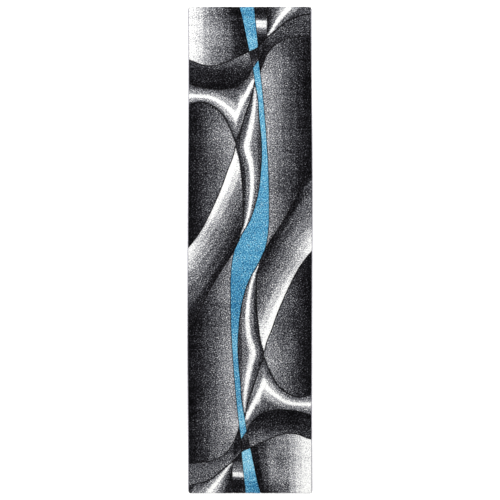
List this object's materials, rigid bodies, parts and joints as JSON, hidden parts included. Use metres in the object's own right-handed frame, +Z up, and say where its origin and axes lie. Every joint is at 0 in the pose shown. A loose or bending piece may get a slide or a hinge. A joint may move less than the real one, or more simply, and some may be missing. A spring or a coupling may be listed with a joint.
{
  "type": "runner rug",
  "caption": "Long narrow rug of carved cut pile with a flowing blue ribbon over grey, black and ivory curves, laid on a hard floor.",
  "frame": {"origin": "centre of the underside, at floor level", "axes": "+Y along the rug's length towards the end called north, +X across it to the right with the pile up, +Z up out of the pile"},
  "size_m": [0.62, 2.4, 0.0126],
  "materials": {
    "pile_blue": "turquoise-blue heat-set pile yarn, matt",
    "pile_dark": "black and charcoal pile yarn, matt, speckled with grey",
    "pile_grey": "grey pile yarn, matt, stippled from black to ivory",
    "pile_pale": "ivory and pale grey pile yarn, matt, shaded to charcoal",
    "serging_yarn": "wrapped polyester yarn, slight sheen",
    "selvedge_cord": "twisted cotton cord",
    "ground": "plain weave of jute weft and cotton warp",
    "back_coat": "latex-sized jute back, matt",
    "hem_tape": "twill cotton tape",
    "hem_thread": "polyester thread"
  },
  "bodies": {
    "root": {"blue_ribbon_middle": "pile_blue", "blue_ribbon_end_north": "pile_blue", "blue_ribbon_end_south": "pile_blue", "drum_field_north": "pile_grey", "drum_field_south": "pile_grey", "slot_field_north": "pile_dark", "slot_field_south": "pile_dark", "corner_field_north": "pile_grey", "corner_field_south": "pile_grey", "dark_band_left_north": "pile_dark", "dark_band_left_south": "pile_dark", "band_crossing_north": "pile_dark", "band_crossing_south": "pile_dark", "dark_band_right_north": "pile_dark", "dark_band_right_south": "pile_dark", "leaf_field_north": "pile_grey", "leaf_field_south": "pile_grey", "fan_field_north": "pile_pale", "fan_field_south": "pile_pale", "blade_field_north": "pile_pale", "blade_field_south": "pile_pale", "oval_field_north": "pile_dark", "oval_field_south": "pile_dark", "swoosh_field_north": "pile_pale", "swoosh_field_south": "pile_pale", "ground_weave": "ground", "back_coat": "back_coat", "serged_edge_left": "serging_yarn", "selvedge_cord_left": "selvedge_cord", "serged_edge_right": "serging_yarn", "selvedge_cord_right": "selvedge_cord", "hem_tape_north": "hem_tape", "hem_stitching_north": "hem_thread", "hem_tape_south": "hem_tape", "hem_stitching_south": "hem_thread"}
  },
  "joints": []
}
